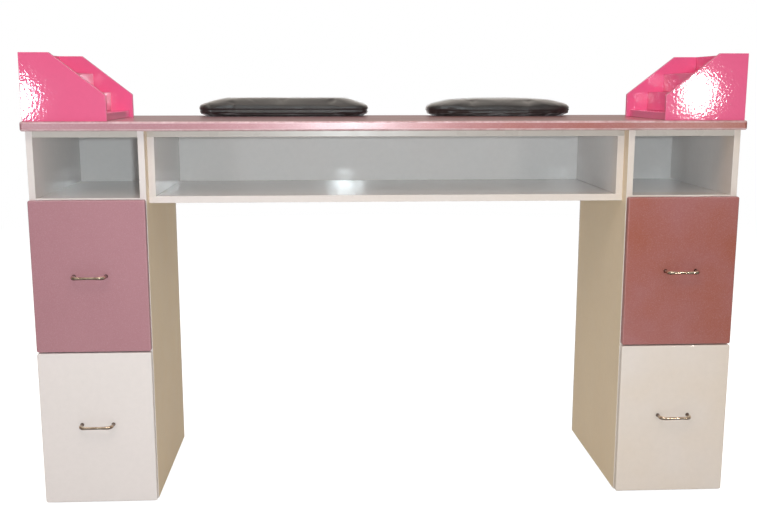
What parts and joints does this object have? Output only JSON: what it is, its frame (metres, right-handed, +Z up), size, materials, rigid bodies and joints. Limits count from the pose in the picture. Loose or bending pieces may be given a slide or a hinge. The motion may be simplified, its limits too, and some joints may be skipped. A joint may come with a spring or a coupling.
{
  "type": "manicure table",
  "caption": "Long manicure table: two drawer pedestals joined by an open shelf box, lacquered top, stepped polish racks at the ends and padded wrist cushions.",
  "frame": {"origin": "on the floor, under the middle of the bounding box", "axes": "+X along the table, to the right as seen from the drawer side; +Y to the client side (drawers open towards -Y); +Z up"},
  "size_m": [1.45, 0.42, 0.933],
  "materials": {
    "mauve_lacquer": "metallic mauve lacquer, satin gloss",
    "white_lacquer": "warm white lacquer, semi-gloss",
    "pink_gloss": "hot pink high-gloss lacquer",
    "black_leatherette": "black grained leatherette, soft sheen",
    "bright_nickel": "bright nickel plate",
    "grey_plastic": "grey moulded plastic",
    "zinc_steel": "bright zinc-plated sheet",
    "screw_steel": "zinc-plated screws",
    "beech": "plain beech dowel",
    "drawer_board": "white melamine board"
  },
  "bodies": {
    "table_frame": {"table_top": "mauve_lacquer", "pedestal_top_panels": "white_lacquer", "centre_box_top": "white_lacquer", "centre_box_bottom": "white_lacquer", "centre_box_sides": "white_lacquer", "centre_box_back": "white_lacquer", "glides": "grey_plastic", "cabinet_runners": "zinc_steel", "carcass_dowels": "beech", "assembly_screws": "screw_steel", "left_outer_side": "white_lacquer", "left_inner_side": "white_lacquer", "left_bottom_panel": "white_lacquer", "left_cubby_shelf": "white_lacquer", "left_back_panel": "white_lacquer", "left_rack_side_panels": "pink_gloss", "left_rack_steps": "pink_gloss", "left_rack_back_board": "pink_gloss", "right_outer_side": "white_lacquer", "right_inner_side": "white_lacquer", "right_bottom_panel": "white_lacquer", "right_cubby_shelf": "white_lacquer", "right_back_panel": "white_lacquer", "right_rack_side_panels": "pink_gloss", "right_rack_steps": "pink_gloss", "right_rack_back_board": "pink_gloss"},
    "left_lower_drawer": {"left_lower_drawer_front": "white_lacquer", "left_lower_drawer_sides": "drawer_board", "left_lower_drawer_ends": "drawer_board", "left_lower_drawer_bottom": "drawer_board", "left_lower_handle": "bright_nickel", "left_lower_drawer_screws": "screw_steel", "left_lower_drawer_runners": "zinc_steel"},
    "left_lower_runner_middle": {"left_lower_middle_runners": "zinc_steel"},
    "left_upper_drawer": {"left_upper_drawer_front": "mauve_lacquer", "left_upper_drawer_sides": "drawer_board", "left_upper_drawer_ends": "drawer_board", "left_upper_drawer_bottom": "drawer_board", "left_upper_handle": "bright_nickel", "left_upper_drawer_screws": "screw_steel", "left_upper_drawer_runners": "zinc_steel"},
    "left_upper_runner_middle": {"left_upper_middle_runners": "zinc_steel"},
    "left_cushion": {"left_wrist_cushion": "black_leatherette"},
    "right_lower_drawer": {"right_lower_drawer_front": "white_lacquer", "right_lower_drawer_sides": "drawer_board", "right_lower_drawer_ends": "drawer_board", "right_lower_drawer_bottom": "drawer_board", "right_lower_handle": "bright_nickel", "right_lower_drawer_screws": "screw_steel", "right_lower_drawer_runners": "zinc_steel"},
    "right_lower_runner_middle": {"right_lower_middle_runners": "zinc_steel"},
    "right_upper_drawer": {"right_upper_drawer_front": "mauve_lacquer", "right_upper_drawer_sides": "drawer_board", "right_upper_drawer_ends": "drawer_board", "right_upper_drawer_bottom": "drawer_board", "right_upper_handle": "bright_nickel", "right_upper_drawer_screws": "screw_steel", "right_upper_drawer_runners": "zinc_steel"},
    "right_upper_runner_middle": {"right_upper_middle_runners": "zinc_steel"},
    "right_cushion": {"right_wrist_cushion": "black_leatherette"}
  },
  "joints": [
    {"name": "left_lower_drawer_slide", "type": "slide", "parent": "table_frame", "child": "left_lower_drawer", "axis": [0, -1, 0], "range_m": [0, 0.34]},
    {"name": "left_lower_runner_slide", "type": "slide", "parent": "table_frame", "child": "left_lower_runner_middle", "axis": [0, -1, 0], "range_m": [0, 0.17]},
    {"name": "left_upper_drawer_slide", "type": "slide", "parent": "table_frame", "child": "left_upper_drawer", "axis": [0, -1, 0], "range_m": [0, 0.34]},
    {"name": "left_upper_runner_slide", "type": "slide", "parent": "table_frame", "child": "left_upper_runner_middle", "axis": [0, -1, 0], "range_m": [0, 0.17]},
    {"name": "left_cushion_lift", "type": "slide", "parent": "table_frame", "child": "left_cushion", "axis": [0, 0, 1], "range_m": [0, 0.2]},
    {"name": "right_lower_drawer_slide", "type": "slide", "parent": "table_frame", "child": "right_lower_drawer", "axis": [0, -1, 0], "range_m": [0, 0.34]},
    {"name": "right_lower_runner_slide", "type": "slide", "parent": "table_frame", "child": "right_lower_runner_middle", "axis": [0, -1, 0], "range_m": [0, 0.17]},
    {"name": "right_upper_drawer_slide", "type": "slide", "parent": "table_frame", "child": "right_upper_drawer", "axis": [0, -1, 0], "range_m": [0, 0.34]},
    {"name": "right_upper_runner_slide", "type": "slide", "parent": "table_frame", "child": "right_upper_runner_middle", "axis": [0, -1, 0], "range_m": [0, 0.17]},
    {"name": "right_cushion_lift", "type": "slide", "parent": "table_frame", "child": "right_cushion", "axis": [0, 0, 1], "range_m": [0, 0.2]}
  ],
  "couplings": [
    {"joint": "left_lower_runner_slide", "follows": "left_lower_drawer_slide", "ratio": 0.5},
    {"joint": "left_upper_runner_slide", "follows": "left_upper_drawer_slide", "ratio": 0.5},
    {"joint": "right_lower_runner_slide", "follows": "right_lower_drawer_slide", "ratio": 0.5},
    {"joint": "right_upper_runner_slide", "follows": "right_upper_drawer_slide", "ratio": 0.5}
  ]
}
